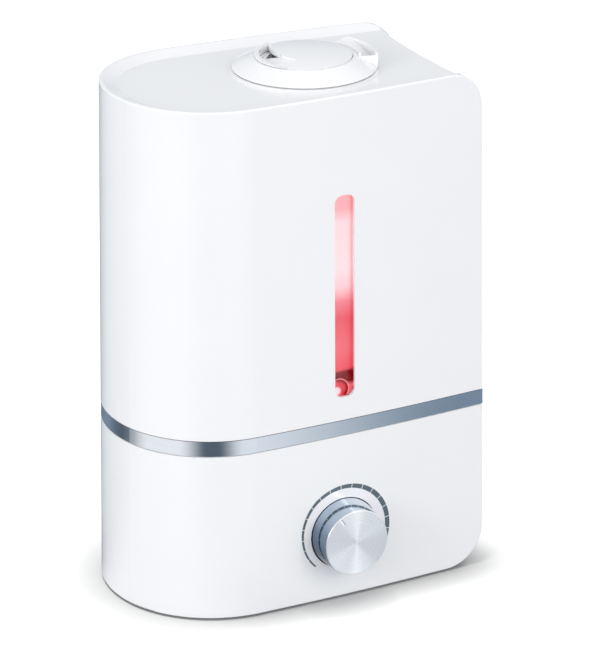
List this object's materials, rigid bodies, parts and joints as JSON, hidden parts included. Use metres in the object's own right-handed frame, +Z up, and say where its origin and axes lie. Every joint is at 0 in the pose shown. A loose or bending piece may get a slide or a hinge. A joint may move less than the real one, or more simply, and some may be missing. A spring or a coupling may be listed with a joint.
{
  "type": "cool mist humidifier",
  "caption": "Tall D-shaped cool mist humidifier: lift-off water tank with a lit level strip and turning mist nozzle on a base with a spun metal knob.",
  "frame": {"origin": "on the table, under the middle of the whole object's box", "axes": "+Z up, front (knob and window) towards -Y, inset end wall towards +X"},
  "size_m": [0.2105, 0.1464, 0.3084],
  "materials": {
    "white_gloss": "polished white ABS",
    "white_inner": "satin white ABS",
    "grey_bottom": "fine-grained",
    "silver_trim": "satin metallised",
    "spun_aluminium": "spun face, polished side",
    "dark_plastic": "matte",
    "clear_plastic": "clear acrylic, polished",
    "diffuser": "milky acrylic, lit red",
    "black_rubber": "matte",
    "seal_silicone": "translucent silicone",
    "piezo_ceramic": "silvered ceramic disc",
    "machined_aluminium": "machined",
    "zinc_steel": "zinc plated",
    "board_green": "solder mask",
    "led_red": "tinted epoxy",
    "core_steel": "laminated steel",
    "coil_tape": "winding tape",
    "fan_black": "matte",
    "float_foam": "foamed plastic",
    "magnet_dark": "ferrite",
    "shaft_steel": "turned",
    "valve_plastic": "acetal",
    "spring_steel": "bright wire"
  },
  "bodies": {
    "base": {"base_shell": "white_gloss", "base_bottom": "grey_bottom", "trim_band": "silver_trim", "water_basin": "white_inner", "mist_well": "white_inner", "air_port": "white_inner", "transducer_disc": "piezo_ceramic", "transducer_seal": "black_rubber", "transducer_ring": "machined_aluminium", "transducer_screws": "zinc_steel", "fan_housing": "fan_black", "air_duct": "white_inner", "knob_well": "dark_plastic", "potentiometer": "zinc_steel", "control_board": "board_green", "led_bracket": "board_green", "indicator_led": "led_red", "light_guide": "clear_plastic", "power_board": "board_green", "board_posts": "grey_bottom", "board_screws": "zinc_steel", "transformer_core": "core_steel", "transformer_coil": "coil_tape", "driver_board": "board_green", "heat_sink": "machined_aluminium", "cord_gland": "dark_plastic", "feet": "black_rubber", "base_screws": "zinc_steel", "float_sensor": "dark_plastic"},
    "tank": {"tank_shell": "white_gloss", "level_window": "clear_plastic", "light_channel": "diffuser", "light_lens": "clear_plastic", "tank_bottom": "white_inner", "tube_socket": "white_inner", "mist_tube": "white_inner", "nozzle_seat": "white_gloss"},
    "nozzle_sleeve": {"nozzle_collar": "white_inner"},
    "nozzle_cone": {"nozzle_ring": "white_gloss"},
    "nozzle_top": {"nozzle_disc": "white_gloss"},
    "filler_lid": {"filler_cap": "white_inner", "filler_seal": "seal_silicone", "valve_spring": "spring_steel"},
    "valve": {"valve_plunger": "valve_plastic", "valve_seal": "seal_silicone"},
    "knob": {"knob_cap": "spun_aluminium", "knob_core": "dark_plastic", "pot_shaft": "shaft_steel"},
    "rotor": {"fan_rotor": "fan_black"},
    "float": {"float_ring": "float_foam", "float_magnet": "magnet_dark"}
  },
  "joints": [
    {"name": "tank_lift", "type": "slide", "parent": "base", "child": "tank", "axis": [0, 0, 1], "range_m": [0, 0.12]},
    {"name": "nozzle_lift", "type": "slide", "parent": "tank", "child": "nozzle_sleeve", "axis": [0, 0, 1], "range_m": [0, 0.03]},
    {"name": "cone_turn", "type": "hinge", "parent": "nozzle_sleeve", "child": "nozzle_cone", "pos_m": [0.01789, 0.00648, 0.3], "axis": [0, 0, 1], "continuous": true},
    {"name": "disc_turn", "type": "hinge", "parent": "nozzle_cone", "child": "nozzle_top", "pos_m": [0.01789, 0.00648, 0.305], "axis": [0, 0, 1], "continuous": true},
    {"name": "lid_turn", "type": "hinge", "parent": "tank", "child": "filler_lid", "pos_m": [-0.04172, 0.00648, 0.1], "axis": [0, 0, 1], "range_deg": [0, 90]},
    {"name": "valve_slide", "type": "slide", "parent": "filler_lid", "child": "valve", "axis": [0, 0, 1], "range_m": [-0.005, 0], "deforming": ["valve_spring"]},
    {"name": "knob_turn", "type": "hinge", "parent": "base", "child": "knob", "pos_m": [0.01188, -0.05352, 0.0406], "axis": [0, 1, 0], "range_deg": [-100, 159]},
    {"name": "fan_spin", "type": "hinge", "parent": "base", "child": "rotor", "pos_m": [0.06229, 0.00648, 0.012], "axis": [0, 0, 1], "continuous": true},
    {"name": "float_rise", "type": "slide", "parent": "base", "child": "float", "axis": [0, 0, 1], "range_m": [0, 0.01]}
  ],
  "couplings": [
    {"joint": "valve_slide", "follows": "tank_lift", "ratio": -0.041667}
  ]
}
